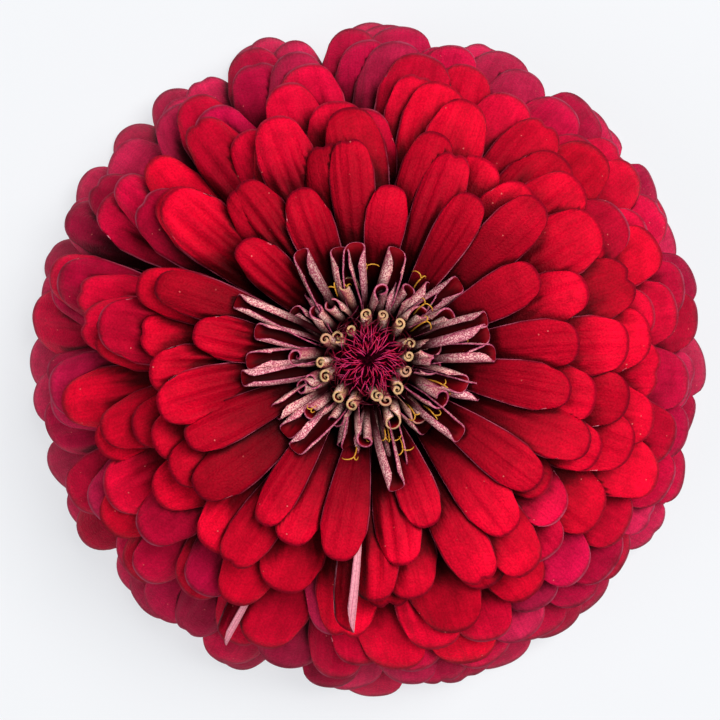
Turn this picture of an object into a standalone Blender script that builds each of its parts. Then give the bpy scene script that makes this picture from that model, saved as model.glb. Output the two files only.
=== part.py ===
"""A cut head of a large double zinnia, resting face up on its lowest petals and its cut stalk.

Metres, +Z up. The origin is on the surface, under the axis of the head. The head is built as it comes
apart on a bench: the cut stalk, the receptacle (the fleshy cone that carries everything), three rows of
separate green bracts round its base, fourteen whorls of ray petals whose claws meet in a ring round the
cone, three rings of young rays that are still rolled up, and the tuft of chaff threads in the middle.
"""

import math
import random

import bmesh
import bpy
from mathutils import Vector

MM = 0.001
SEAT_GAP = 0.35 * MM
SEED = 41
GOLDEN_ANGLE = math.radians(137.508)
TURNED_STEPS = 24

# Stalk
STALK_RADIUS = 2.6 * MM
STALK_TOP = 5.2 * MM
PITH_RADIUS = 1.1 * MM
PITH_DEPTH = 3.4 * MM

# Receptacle: (radius, height) round the foot and the shoulder of its cone, and the bowl under them
CONE_FOOT = (8.1 * MM, 16.9 * MM)
CONE_SHOULDER = (5.2 * MM, 36.9 * MM)
DOME_RISE = 2.1 * MM
BOWL_RIM_Z = 16.5 * MM
BOWL_NECK_RADIUS = 2.9 * MM
BOWL_FLARE = 5.5 * MM
BOWL_DEPTH = 11.0 * MM

# Ray petals: a pair runs from the innermost whorl to the outermost one
RAY_COUNTS = (12, 12, 13, 13, 14, 15, 16, 17, 18, 19, 20, 20, 18, 16)
RAY_THICKNESS = 0.6 * MM
RAY_STAND_OFF = 0.75 * MM
RAY_BASE_Z = (36.4 * MM, 17.35 * MM)
RAY_LENGTH = (24.5 * MM, 54.5 * MM)
RAY_LENGTH_POWER = 0.8
RAY_RISE = (math.radians(62), math.radians(18))
RAY_FALL = (math.radians(-2), math.radians(-62))
RAY_FALL_POWER = 0.95
RAY_WIDTH = (8.6 * MM, 11.4 * MM)
CLAW_RING = 2.4 * MM
TURN_SPREAD = 0.1
REACH_SPREAD = (0.18, 0.06)
EVEN_AZIMUTH = -math.tau / RAY_COUNTS[-1]
WIDTH_SPREAD = 0.12
BEND_POWER = 1.1
PATH_STEPS = 60

# (share of the length, share of the full width) along a petal, from its claw to its round tip
RAY_OUTLINE = ((0, 0.2), (0.32, 0.58), (0.55, 0.88), (0.76, 1.0), (0.93, 0.84), (1.0, 0.44))
YOUNG_OUTLINE = ((0, 0.3), (0.5, 0.8), (1.0, 1.0))

# Young rays: place on the dome in degrees from its top, count, rise and fall in degrees, length, width
YOUNG_RINGS = {
    "opening_rays": (62, 26, 58, 22, 17.0 * MM, 2.4 * MM),
    "rolled_rays": (40, 20, 64, 34, 12.5 * MM, 1.7 * MM),
    "ray_buds": (24, 16, 68, 42, 9.4 * MM, 1.2 * MM),
}
YOUNG_THICKNESS = 0.85 * MM
YOUNG_RING = 0.9 * MM
YOUNG_REACH_SPREAD = 0.22

# Tuft of chaff threads
TUFT_FOOT_RADIUS = 1.1 * MM
TUFT_RIM_RADIUS = 4.6 * MM
TUFT_RIM_Z = 46.4 * MM
TUFT_RAGGED = 0.9 * MM
TUFT_DIP = 1.6 * MM
TUFT_POINTS = 44

# Bracts: where each row starts and ends on the bowl, in degrees from its neck to its rim
BRACT_ROWS = {"inner": (32, 87), "middle": (16, 66), "outer": (2, 45)}
BRACTS_IN_ROW = 8
BRACT_THICKNESS = 0.6 * MM
BRACT_LAYER = 1.1 * MM
BRACT_SECTOR_SHARE = 0.84
BRACT_OUTLINE = ((0, 0.8), (0.3, 0.92), (0.6, 1.0), (0.85, 0.86), (1.0, 0.5))
BRACT_TIP_ROUNDING = 0.12

COLOURS = {
    "ray": (0.62, 0.006, 0.022),
    "young": (0.60, 0.33, 0.26),
    "tuft": (0.25, 0.004, 0.045),
    "bract": (0.12, 0.20, 0.05),
    "stalk": (0.22, 0.33, 0.09),
    "receptacle": (0.36, 0.42, 0.18),
}
ROUGHNESS = 0.65


def blend(ends, share):
    """The value at this share of the way between a pair of ends."""
    return ends[0] + (ends[1] - ends[0]) * share


def look_up(table, place):
    """The value at a place in a table of (place, value) rows, in a straight line between two rows."""
    for before, after in zip(table, table[1:]):
        if place <= after[0]:
            share = max(0, place - before[0]) / (after[0] - before[0])
            return blend((before[1], after[1]), share)
    return table[-1][1]


def finish(slot):
    """The plain material of a kind of piece, made once and then shared."""
    known = bpy.data.materials.get(slot)
    if known:
        return known
    made = bpy.data.materials.new(slot)
    made.use_nodes = True
    shader = made.node_tree.nodes["Principled BSDF"]
    shader.inputs["Base Color"].default_value = (*COLOURS[slot], 1)
    shader.inputs["Roughness"].default_value = ROUGHNESS
    return made


def add_object(name, mesh, slot, home):
    """Puts a mesh into the head's collection as a named object."""
    mesh.materials.append(finish(slot))
    mesh.shade_smooth()
    obj = bpy.data.objects.new(name, mesh)
    home.objects.link(obj)
    return obj


def mesh_from(bm, name):
    """Turns an edited mesh into mesh data and lets go of it."""
    bmesh.ops.recalc_face_normals(bm, faces=bm.faces)
    mesh = bpy.data.meshes.new(name)
    bm.to_mesh(mesh)
    bm.free()
    return mesh


def add_wall(obj, thickness):
    """Gives an open sheet its thickness, half of it on each side."""
    wall = obj.modifiers.new("thickness", "SOLIDIFY")
    wall.thickness = thickness
    wall.offset = 0


def add_turned(name, outline, slot, home):
    """A solid of revolution about Z, from a line of (radius, height) points that starts and ends on Z."""
    mesh = bpy.data.meshes.new(name)
    points = [(radius, 0, height) for radius, height in outline]
    mesh.from_pydata(points, [(i, i + 1) for i in range(len(points) - 1)], [])
    obj = add_object(name, mesh, slot, home)
    turn = obj.modifiers.new("turn", "SCREW")
    turn.steps = TURNED_STEPS
    turn.render_steps = TURNED_STEPS
    turn.use_merge_vertices = True
    turn.merge_threshold = 0.01 * MM


def oval_point(middle_z, semi_axes, angle, offset):
    """(radius, height) on an upright oval round Z, at an angle from +Z, this far outside its surface."""
    direction = Vector((math.sin(angle), math.cos(angle)))
    outward = Vector((direction.x / semi_axes[0], direction.y / semi_axes[1])).normalized()
    radius = semi_axes[0] * direction.x + offset * outward.x
    return radius, middle_z + semi_axes[1] * direction.y + offset * outward.y


def dome_point(angle, offset=0.0):
    """(radius, height) on the dome that ends the cone, at an angle from its top."""
    return oval_point(CONE_SHOULDER[1], (CONE_SHOULDER[0], DOME_RISE), angle, offset)


def bowl_point(angle, offset=0.0):
    """(radius, height) on the bowl under the cone, at an angle from its neck."""
    radius, height = oval_point(BOWL_RIM_Z, (BOWL_FLARE, BOWL_DEPTH), math.pi - angle, offset)
    return BOWL_NECK_RADIUS + radius, height


def cone_radius(height):
    """The cone's radius at a height."""
    share = (height - CONE_FOOT[1]) / (CONE_SHOULDER[1] - CONE_FOOT[1])
    return blend((CONE_FOOT[0], CONE_SHOULDER[0]), share)


def build_stalk(home):
    """The short stalk under the head: a flat cut end with its open pith, and a slightly swollen top."""
    outline = [
        (0, STALK_TOP),
        (STALK_RADIUS * 1.12, STALK_TOP),
        (STALK_RADIUS * 1.03, STALK_TOP * 0.7),
        (STALK_RADIUS, STALK_TOP * 0.35),
        (STALK_RADIUS, 0),
        (PITH_RADIUS, 0),
        (PITH_RADIUS, PITH_DEPTH * 0.8),
        (0, PITH_DEPTH),
    ]
    add_turned("stalk", outline, "stalk", home)


def build_receptacle(home):
    """The cone that carries the petals, with the dome on top of it and the bowl the bracts sit on."""
    dome = [dome_point(math.radians(angle)) for angle in (0, 32, 62, 90)]
    bowl = [bowl_point(math.radians(angle)) for angle in (90, 72, 54, 36, 18, 0)]
    add_turned("receptacle", [*dome, CONE_FOOT, *bowl, (0, bowl[-1][1])], "receptacle", home)


def path_along(base, rise, fall, length):
    """A petal's midline, as a function from a distance along it to (radius, height).

    Its slope turns steadily from rise to fall over the length.
    """
    step = length / PATH_STEPS
    points = [Vector(base)]
    for i in range(PATH_STEPS):
        slope = rise + (fall - rise) * ((i + 0.5) / PATH_STEPS) ** BEND_POWER
        points.append(points[-1] + step * Vector((math.cos(slope), math.sin(slope))))

    def at(distance):
        before = max(0, min(int(distance / step), PATH_STEPS - 1))
        return points[before].lerp(points[before + 1], distance / step - before)

    return at


def crown_rows(outline, ring_length, shortest):
    """The (share of the length, share of the width, is it the ring) rows of a crown, ring first."""
    claw = outline[0][1]
    ring = [(0, claw, True), (ring_length / shortest, claw, True)]
    return ring + [(share, width, False) for share, width in outline[1:]]


def add_crown(name, petals, path, outline, ring_length, thickness, slot, home):
    """A ring of petals whose claws meet in one collar, cut out of a single sheet round the axis.

    petals holds an (azimuth, length, width) for each petal in order round the axis. The sheet is wrapped
    round the axis, so crowns on nested paths never meet. The faces between two petals are left out past
    the collar, and the sheet's two ends are welded.
    """
    shortest = min(length for _, length, _ in petals)
    rows = crown_rows(outline, ring_length, shortest)
    across, along = 2 * len(petals), len(rows) - 1
    bm = bmesh.new()
    bmesh.ops.create_grid(bm, x_segments=across, y_segments=along, size=0.5)
    between = []
    for face in bm.faces:
        centre = face.calc_center_median()
        column, row = int((centre.x + 0.5) * across), int((centre.y + 0.5) * along)
        if column % 2 and row:
            between.append(face)
    for vertex in bm.verts:
        column, row = round((vertex.co.x + 0.5) * across), round((vertex.co.y + 0.5) * along)
        share, breadth, in_ring = rows[row]
        azimuth, length, width = petals[column // 2 % len(petals)]
        radius, height = path(share * (shortest if in_ring else length))
        side = 1 if column % 2 else -1
        turn = azimuth + side * breadth * width / 2 / radius
        vertex.co = (radius * math.cos(turn), radius * math.sin(turn), height)
    bmesh.ops.delete(bm, geom=between, context="FACES")
    bmesh.ops.remove_doubles(bm, verts=bm.verts, dist=0.01 * MM)
    add_wall(add_object(name, mesh_from(bm, name), slot, home), thickness)


def petal_plan(count, length, width, reach_spread, first, seed, steady=0):
    """The (azimuth, length, width) of each petal of a crown, a little uneven as they grow.

    Every petal whose number is a multiple of steady keeps its full size and its even place.
    """
    draw = random.Random(seed)
    plan = []
    for i in range(count):
        swing, short, slim = draw.uniform(-1, 1), draw.random(), draw.random()
        if steady and i % steady == 0:
            swing = short = slim = 0
        azimuth = first + (i + TURN_SPREAD * swing) * math.tau / count
        plan.append((azimuth, length * (1 - reach_spread * short), width * (1 - WIDTH_SPREAD * slim)))
    return plan


def build_whorl(k, home):
    """One whorl of open ray petals.

    Each petal lies between two petals of the whorl above it at EVEN_AZIMUTH. Away from there the whorls
    drift apart, because they don't have the same number of petals. In the lowest whorl, four petals have
    their full length and an even place, so the head reaches as far to every side.
    """
    last = len(RAY_COUNTS) - 1
    share = k / last
    length = blend(RAY_LENGTH, share**RAY_LENGTH_POWER)
    height = blend(RAY_BASE_Z, share)
    base = (cone_radius(height) + RAY_STAND_OFF, height)
    fall = blend(RAY_FALL, share**RAY_FALL_POWER)
    path = path_along(base, blend(RAY_RISE, share), fall, length)
    steady = RAY_COUNTS[k] // 4 if k == last else 0
    first = 0 if k == last else EVEN_AZIMUTH + (last - k) % 2 * math.pi / RAY_COUNTS[k]
    width, reach_spread = blend(RAY_WIDTH, share), blend(REACH_SPREAD, share)
    petals = petal_plan(RAY_COUNTS[k], length, width, reach_spread, first, SEED + k, steady)
    name = f"ray_whorl_{k + 1:02d}"
    add_crown(name, petals, path, RAY_OUTLINE, CLAW_RING, RAY_THICKNESS, "ray", home)


def build_young_ring(name, place, home):
    """One ring of young rays, rolled into tubes: each is a solid rod here."""
    angle, count, rise, fall, length, width = YOUNG_RINGS[name]
    base = dome_point(math.radians(angle), YOUNG_THICKNESS / 2 + SEAT_GAP)
    path = path_along(base, math.radians(rise), math.radians(fall), length)
    first, seed = place * GOLDEN_ANGLE, SEED + 100 + place
    petals = petal_plan(count, length, width, YOUNG_REACH_SPREAD, first, seed)
    add_crown(name, petals, path, YOUNG_OUTLINE, YOUNG_RING, YOUNG_THICKNESS, "young", home)


def build_tuft(home):
    """The tuft of chaff threads, as one brush with a ragged rim and a dip in the middle of its top."""
    foot_z = dome_point(0)[1] + SEAT_GAP
    depth = TUFT_RIM_Z - foot_z
    bm = bmesh.new()
    bmesh.ops.create_cone(
        bm,
        cap_ends=True,
        cap_tris=True,
        segments=TUFT_POINTS,
        radius1=TUFT_FOOT_RADIUS,
        radius2=TUFT_RIM_RADIUS,
        depth=depth,
    )
    bmesh.ops.translate(bm, verts=bm.verts, vec=(0, 0, foot_z + depth / 2))
    for vertex in bm.verts:
        radius = vertex.co.xy.length
        if vertex.co.z < TUFT_RIM_Z - SEAT_GAP:
            continue
        if radius < TUFT_FOOT_RADIUS:
            vertex.co.z -= TUFT_DIP
        elif round(math.atan2(vertex.co.y, vertex.co.x) / math.tau * TUFT_POINTS) % 2:
            vertex.co.z -= TUFT_RAGGED
    add_object("chaff_tuft", mesh_from(bm, "chaff_tuft"), "tuft", home)


def bract_lift(angle):
    """How many rows of bracts are already under an outer bract at this angle on the bowl."""
    starts = sorted(start for start, _ in BRACT_ROWS.values())
    return look_up([(start, row) for row, start in enumerate(starts)], angle)


def add_bract(name, middle, row, home):
    """One bract: a broad scale that starts on the bowl and lies over the row above it."""
    start, end = BRACT_ROWS[row]
    along = len(BRACT_OUTLINE) - 1
    half_sector = BRACT_SECTOR_SHARE * math.pi / BRACTS_IN_ROW
    bm = bmesh.new()
    bmesh.ops.create_grid(bm, x_segments=2, y_segments=along, size=1)
    for vertex in bm.verts:
        side, row_number = round(vertex.co.x), round((vertex.co.y + 1) / 2 * along)
        share, breadth = BRACT_OUTLINE[row_number]
        share -= BRACT_TIP_ROUNDING * share**4 * abs(side)
        angle = blend((start, end), share)
        offset = SEAT_GAP + BRACT_THICKNESS / 2 + BRACT_LAYER * (bract_lift(angle) - bract_lift(start))
        radius, height = bowl_point(math.radians(angle), offset)
        turn = middle + side * breadth * half_sector
        vertex.co = (radius * math.cos(turn), radius * math.sin(turn), height)
    add_wall(add_object(name, mesh_from(bm, name), "bract", home), BRACT_THICKNESS)


def build_bracts(home):
    """The involucre: three rows of eight bracts, each row turned by half a bract from the one above."""
    sector = math.tau / BRACTS_IN_ROW
    for turn, row in enumerate(BRACT_ROWS):
        for i in range(BRACTS_IN_ROW):
            add_bract(f"bract_{row}_{i + 1}", (i + turn / 2) * sector, row, home)


def build():
    """Clears the scene and builds the whole head."""
    for obj in list(bpy.data.objects):
        bpy.data.objects.remove(obj)
    home = bpy.data.collections.new("zinnia_head")
    bpy.context.scene.collection.children.link(home)
    build_stalk(home)
    build_receptacle(home)
    build_bracts(home)
    for k in range(len(RAY_COUNTS)):
        build_whorl(k, home)
    for place, name in enumerate(YOUNG_RINGS):
        build_young_ring(name, place, home)
    build_tuft(home)


build()
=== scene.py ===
# %% [markdown]
# # A zinnia head, petal by petal
#
# This lesson builds the looks of a large double zinnia that lies face up on a pale table. The solids of
# the head are loaded first: they fix every size and place. Each step then stands one group of plain
# solids down and puts finished petals, scales or threads in their place, so the head keeps its size.

# %% Load the solids
import math
import random

import bmesh
import bpy
import numpy as np
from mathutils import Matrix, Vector
from mathutils.bvhtree import BVHTree


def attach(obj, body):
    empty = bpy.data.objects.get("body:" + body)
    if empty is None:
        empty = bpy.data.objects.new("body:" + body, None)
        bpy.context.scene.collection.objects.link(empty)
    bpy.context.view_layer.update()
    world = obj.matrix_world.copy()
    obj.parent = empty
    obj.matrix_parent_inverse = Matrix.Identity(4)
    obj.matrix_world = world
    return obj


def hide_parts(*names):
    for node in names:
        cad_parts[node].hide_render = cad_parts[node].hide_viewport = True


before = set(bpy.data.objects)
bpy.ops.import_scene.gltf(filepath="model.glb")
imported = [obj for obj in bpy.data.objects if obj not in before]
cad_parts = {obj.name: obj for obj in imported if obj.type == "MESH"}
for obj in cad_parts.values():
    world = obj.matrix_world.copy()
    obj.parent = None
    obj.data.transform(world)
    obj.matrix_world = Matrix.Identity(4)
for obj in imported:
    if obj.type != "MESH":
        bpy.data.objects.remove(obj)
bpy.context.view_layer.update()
MM = 0.001

# %% [markdown]
# ## The camera, the table and the light
#
# The head is looked at from straight above, with a long lens that keeps the outer petals from being
# stretched. One large soft light stands high on the right, as a window would. A second, weak one fills
# the left side, so the gaps between petals stay dark and the petals themselves stay bright.

# %% Camera
VIEW_WIDTH = 0.1145
LENS = 90
SENSOR = 36
VIEW_LEVEL = 0.012
AIM = Vector((-0.0012, -0.0001, VIEW_LEVEL))

camera_data = bpy.data.cameras.new("camera")
camera_data.lens = LENS
camera_data.sensor_width = SENSOR
camera = bpy.data.objects.new("camera", camera_data)
bpy.context.scene.collection.objects.link(camera)
camera.location = AIM + Vector((0, 0, VIEW_WIDTH * LENS / SENSOR))
bpy.context.scene.camera = camera
print("camera height:", round(camera.location.z, 3))


# %% [markdown]
# ## Working by hand, in code
#
# The pieces are modelled with the same operators as by hand: a primitive is added, its vertices are
# selected by their place, and edit mode shapes them. An operator acts on everything that is selected, so
# each helper here starts or ends with a clean selection.

# %% Selecting, naming and joining
def clear_selection():
    """Leaves edit mode and deselects everything."""
    if bpy.context.mode != "OBJECT":
        bpy.ops.object.mode_set(mode="OBJECT")
    bpy.ops.object.select_all(action="DESELECT")


def take(obj):
    """Makes this object the only selected and the active one."""
    clear_selection()
    obj.select_set(True)
    bpy.context.view_layer.objects.active = obj
    return obj


def new_piece(name):
    """Names the primitive that was just added, and its mesh."""
    obj = bpy.context.active_object
    obj.name = name
    obj.data.name = name
    return obj


def select_where(obj, test):
    """In edit mode, selects the vertices whose place passes the test."""
    bpy.ops.mesh.select_mode(type="VERT")
    bpy.ops.mesh.select_all(action="DESELECT")
    bm = bmesh.from_edit_mesh(obj.data)
    for vertex in bm.verts:
        vertex.select = test(vertex.co)
    bm.select_flush_mode()
    bmesh.update_edit_mesh(obj.data)


def apply_all(obj):
    """Applies every modifier of a piece."""
    take(obj)
    for modifier in list(obj.modifiers):
        bpy.ops.object.modifier_apply(modifier=modifier.name)


def join(name, pieces):
    """Joins pieces into one and names it."""
    clear_selection()
    for piece in pieces:
        piece.select_set(True)
    bpy.context.view_layer.objects.active = pieces[0]
    if len(pieces) > 1:
        bpy.ops.object.join()
    return new_piece(name)


def set_place(obj):
    """Moves a piece's place into its mesh, so the object itself sits at the origin."""
    take(obj)
    bpy.ops.object.transform_apply(location=True, rotation=True, scale=True)


# %% Table
TABLE_SIZE = 3.0
TABLE_GREY = (0.22, 0.223, 0.229, 1)
TABLE_GLOW = (0.95, 0.97, 1.0, 1)
TABLE_GLOW_STRENGTH = 0.665
TABLE_DROP = 0.0002
clear_selection()
bpy.ops.mesh.primitive_plane_add(size=TABLE_SIZE, location=(0, 0, -TABLE_DROP))
table = new_piece("table")
set_place(table)
paper = bpy.data.materials.new("pale table")
paper.use_nodes = True
shader = paper.node_tree.nodes["Principled BSDF"]
shader.inputs["Base Color"].default_value = TABLE_GREY
shader.inputs["Emission Color"].default_value = TABLE_GLOW
shader.inputs["Emission Strength"].default_value = TABLE_GLOW_STRENGTH
shader.inputs["Roughness"].default_value = 0.9
table.data.materials.append(paper)
print("table:", TABLE_SIZE, "m wide,", TABLE_DROP / MM, "mm under the head")


# %% Lights
def add_area_light(name, place, size, power, colour):
    """A square soft light that faces the middle of the head."""
    data = bpy.data.lights.new(name, "AREA")
    data.size = size
    data.energy = power
    data.color = colour
    light = bpy.data.objects.new(name, data)
    light.location = place
    light.rotation_euler = (AIM - Vector(place)).to_track_quat("-Z", "Y").to_euler()
    bpy.context.scene.collection.objects.link(light)


WINDOW_POWER = 16.4
FILL_POWER = 3.8
ROOM_COLOUR = (0.93, 0.95, 1.0, 1)
ROOM_STRENGTH = 0.24
add_area_light("window", (0.48, 0.29, 1.10), 0.65, WINDOW_POWER, (1.0, 0.985, 0.965))
add_area_light("fill", (-0.8, -0.3, 0.9), 0.8, FILL_POWER, (0.95, 0.97, 1.0))
world = bpy.context.scene.world or bpy.data.worlds.new("room")
bpy.context.scene.world = world
world.use_nodes = True
world.node_tree.nodes["Background"].inputs["Color"].default_value = ROOM_COLOUR
world.node_tree.nodes["Background"].inputs["Strength"].default_value = ROOM_STRENGTH
bpy.context.scene.view_settings.view_transform = "Standard"
print("lights:", [light.name for light in bpy.data.lights])

# %% [markdown]
# ## Shader groups that several finishes share
#
# A petal's skin is a carpet of tiny cells, with fine veins that run from the claw to the tip. Both could
# be painted on a picture, but a picture blurs up close, so both are patterns made by nodes. They show on
# every petal, so each effect is a node group with its own inputs. The veins read the petal's UV map,
# where X runs along the petal and Y across it. The `grain` attribute is a number that every petal has
# for itself, and it slides the pattern so that no two petals look the same.


# %% Group and link helpers
def make_group(name, inputs, outputs):
    """A shader group with named sockets. Returns it with its input and output nodes."""
    group = bpy.data.node_groups.new(name, "ShaderNodeTree")
    for label, value in inputs.items():
        socket = group.interface.new_socket(name=label, in_out="INPUT", socket_type="NodeSocketFloat")
        socket.default_value = value
    for label in outputs:
        group.interface.new_socket(name=label, in_out="OUTPUT", socket_type="NodeSocketFloat")
    return group, group.nodes.new("NodeGroupInput"), group.nodes.new("NodeGroupOutput")


def add_node(tree, kind, **settings):
    """Adds a node and sets its properties."""
    node = tree.nodes.new(kind)
    for key, value in settings.items():
        setattr(node, key, value)
    return node


def feed(tree, socket, value):
    """Sets a socket to a number or colour, or links another socket to it."""
    if isinstance(value, bpy.types.NodeSocket):
        tree.links.new(value, socket)
    else:
        socket.default_value = value


def maths(tree, operation, a, b=0.0, third=0.0):
    """A Math node between two or three numbers or sockets. Returns its output."""
    node = add_node(tree, "ShaderNodeMath", operation=operation)
    for socket, value in zip(node.inputs, (a, b, third)):
        feed(tree, socket, value)
    return node.outputs[0]


def times(tree, a, b):
    """The product of two numbers or sockets."""
    return maths(tree, "MULTIPLY", a, b)


# %% Ramps, mixes and patterns
def ramp(tree, factor, stops, smooth=True):
    """A colour ramp through (place, colour or grey) stops. Returns its colour output."""
    node = add_node(tree, "ShaderNodeValToRGB")
    node.color_ramp.interpolation = "EASE" if smooth else "LINEAR"
    elements = node.color_ramp.elements
    while len(elements) < len(stops):
        elements.new(0.5)
    for element, (place, colour) in zip(elements, stops):
        element.position = place
        grey = isinstance(colour, (int, float))
        element.color = (colour, colour, colour, 1) if grey else (*colour, 1)
    feed(tree, node.inputs[0], factor)
    return node.outputs[0]


def mix(tree, factor, a, b, blend="MIX"):
    """A colour mix of two colours or sockets. Returns its output."""
    node = add_node(tree, "ShaderNodeMix", data_type="RGBA", blend_type=blend)
    feed(tree, node.inputs[0], factor)
    for socket, value in ((node.inputs[6], a), (node.inputs[7], b)):
        feed(tree, socket, value if isinstance(value, bpy.types.NodeSocket) else (*value, 1))
    return node.outputs[2]


def toned(tree, colour, mask, stops, amount=1.0, smooth=True):
    """A colour that is darker or lighter by a ramp of a mask. amount is how much of that shows."""
    return mix(tree, amount, colour, ramp(tree, mask, stops, smooth), "MULTIPLY")


def attribute(tree, name):
    """A number stored on the piece's points."""
    return add_node(tree, "ShaderNodeAttribute", attribute_name=name).outputs["Fac"]


def object_place(tree):
    """Where a point is in the piece's own coordinates."""
    return add_node(tree, "ShaderNodeTexCoord").outputs["Object"]


def object_noise(tree, scale, detail=2.0, place=None):
    """A noise over the piece's own coordinates, or over another place, from 0 to 1."""
    noise = add_node(tree, "ShaderNodeTexNoise")
    noise.inputs["Detail"].default_value = detail
    feed(tree, noise.inputs["Scale"], scale)
    tree.links.new(place or object_place(tree), noise.inputs["Vector"])
    return noise.outputs["Fac"]


def split(tree, vector):
    """The X, Y and Z of a vector socket."""
    axes = add_node(tree, "ShaderNodeSeparateXYZ")
    tree.links.new(vector, axes.inputs[0])
    return axes.outputs


# %% Veins
GRAIN_SLIDE = 37.0


def build_vein_group():
    """Lengthwise veins and broad pleats, as a mask and a height."""
    group, source, sink = make_group("veins", {"Count": 30.0, "Grain": 0.0}, ("Mask", "Pleats"))
    along, across, _ = split(group, add_node(group, "ShaderNodeUVMap", uv_map="UVMap").outputs[0])
    for label, stretch, share, detail in (("Mask", 1.6, 1.0, 3.0), ("Pleats", 1.2, 0.16, 1.0)):
        place = add_node(group, "ShaderNodeCombineXYZ")
        feed(group, place.inputs[0], times(group, along, stretch))
        wide = times(group, source.outputs["Count"], share)
        feed(group, place.inputs[1], times(group, across, wide))
        feed(group, place.inputs[2], times(group, source.outputs["Grain"], GRAIN_SLIDE))
        feed(group, sink.inputs[label], object_noise(group, 1.0, detail, place.outputs[0]))
    return group


# %% Velvet and specks
VELVET_SCALE = 3200
MOTTLE_SCALE = 330
SPECK_SCALE = 800
SPECK_SIZE = 0.09
SPECK_RARITY = 0.86


def build_velvet_group():
    """The petal's fine pile, a soft mottle, and a sparse scatter of pale specks."""
    group, source, sink = make_group("velvet", {"Fineness": 1.0}, ("Pile", "Mottle", "Specks"))
    for label, scale, detail in (("Pile", VELVET_SCALE, 2.0), ("Mottle", MOTTLE_SCALE, 4.0)):
        fineness = times(group, source.outputs["Fineness"], scale)
        feed(group, sink.inputs[label], object_noise(group, fineness, detail))
    cells = add_node(group, "ShaderNodeTexVoronoi")
    cells.inputs["Scale"].default_value = SPECK_SCALE
    group.links.new(object_place(group), cells.inputs["Vector"])
    near = maths(group, "LESS_THAN", cells.outputs["Distance"], SPECK_SIZE)
    draw = add_node(group, "ShaderNodeSeparateColor")
    group.links.new(cells.outputs["Color"], draw.inputs[0])
    rare = maths(group, "GREATER_THAN", draw.outputs[0], SPECK_RARITY)
    feed(group, sink.inputs["Specks"], times(group, near, rare))
    return group


VEINS = build_vein_group()
VELVET = build_velvet_group()
print("shared groups:", VEINS.name, VELVET.name)


# %% Materials and bumps
SHEEN_ROUGHNESS = 0.45
SHEEN_TINT = (0.9, 0.06, 0.14, 1)


def place_group(tree, group, **values):
    """Puts a shared group into a material with its own values. Returns its outputs by name."""
    node = add_node(tree, "ShaderNodeGroup", node_tree=group)
    for label, value in values.items():
        feed(tree, node.inputs[label], value)
    return {socket.name: socket for socket in node.outputs}


def new_material(name, roughness, sheen=0.0, specular=0.04):
    """A Principled material. Returns it with its node tree."""
    made = bpy.data.materials.new(name)
    made.use_nodes = True
    node = made.node_tree.nodes["Principled BSDF"]
    node.inputs["Roughness"].default_value = roughness
    node.inputs["Sheen Weight"].default_value = sheen
    node.inputs["Sheen Roughness"].default_value = SHEEN_ROUGHNESS
    node.inputs["Sheen Tint"].default_value = SHEEN_TINT
    node.inputs["Specular IOR Level"].default_value = specular
    return made, made.node_tree


def dress(made, colour, height, depth):
    """Gives a material its colour, and a bump of this depth in metres. Returns the material."""
    tree = made.node_tree
    node = tree.nodes["Principled BSDF"]
    feed(tree, node.inputs["Base Color"], colour)
    bump = add_node(tree, "ShaderNodeBump")
    bump.inputs["Distance"].default_value = depth
    feed(tree, bump.inputs["Height"], height)
    tree.links.new(bump.outputs[0], node.inputs["Normal"])
    return made


# %% [markdown]
# ## The finish of an open petal
#
# The upper face is a deep, dull velvet red: darkest in the claw, partly its own darker red and partly
# painted shade where the petals above cover it, warm red in the middle of the head and cooler, pinker
# crimson in the lowest whorls, which are the oldest. The top whorls also get painted shade, for the
# deep middle of the head. One red for all would look like plastic, so the `ring` attribute says how old
# a petal is and the ramps turn its colour with age. The margin is a thin, pale pink line, and the
# reverse is pale pink with fine crimson veins.

# %% Upper face
# The claw colour: the claw's own darker red, together with painted shade where the petals above cover it
FACE_CLAW_AND_SHADE = (0.075, 0.0004, 0.003)
FACE_RED = (0.82, 0.0012, 0.026)
FACE_CRIMSON = (0.63, 0.003, 0.062)
FACE_ROSE = (0.80, 0.020, 0.100)
SPECK_PINK = (0.75, 0.16, 0.14)
RIM_PINK = (0.50, 0.085, 0.15)
# A dark edge: the margin's own darker line along the sides, and at the tip painted shadow that the tip casts
# on the petal under it
EDGE_DARK_AND_SHADOW = (0.11, 0.001, 0.010)


def petal_axes(tree):
    """How far along its petal a point is, from the claw to the tip, and how far out from its midline."""
    along, across, _ = split(tree, add_node(tree, "ShaderNodeUVMap", uv_map="UVMap").outputs[0])
    return along, maths(tree, "ABSOLUTE", maths(tree, "MULTIPLY_ADD", across, 2.0, third=-1.0))


def shaded(tree, colour, dark=0.02, half=0.21, name="open_sky"):
    """Deepens a colour where a petal is hidden from the light by its neighbours."""
    return toned(tree, colour, attribute(tree, name), ((0.06, dark), (0.48, half), (0.92, 1.0)))


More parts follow.
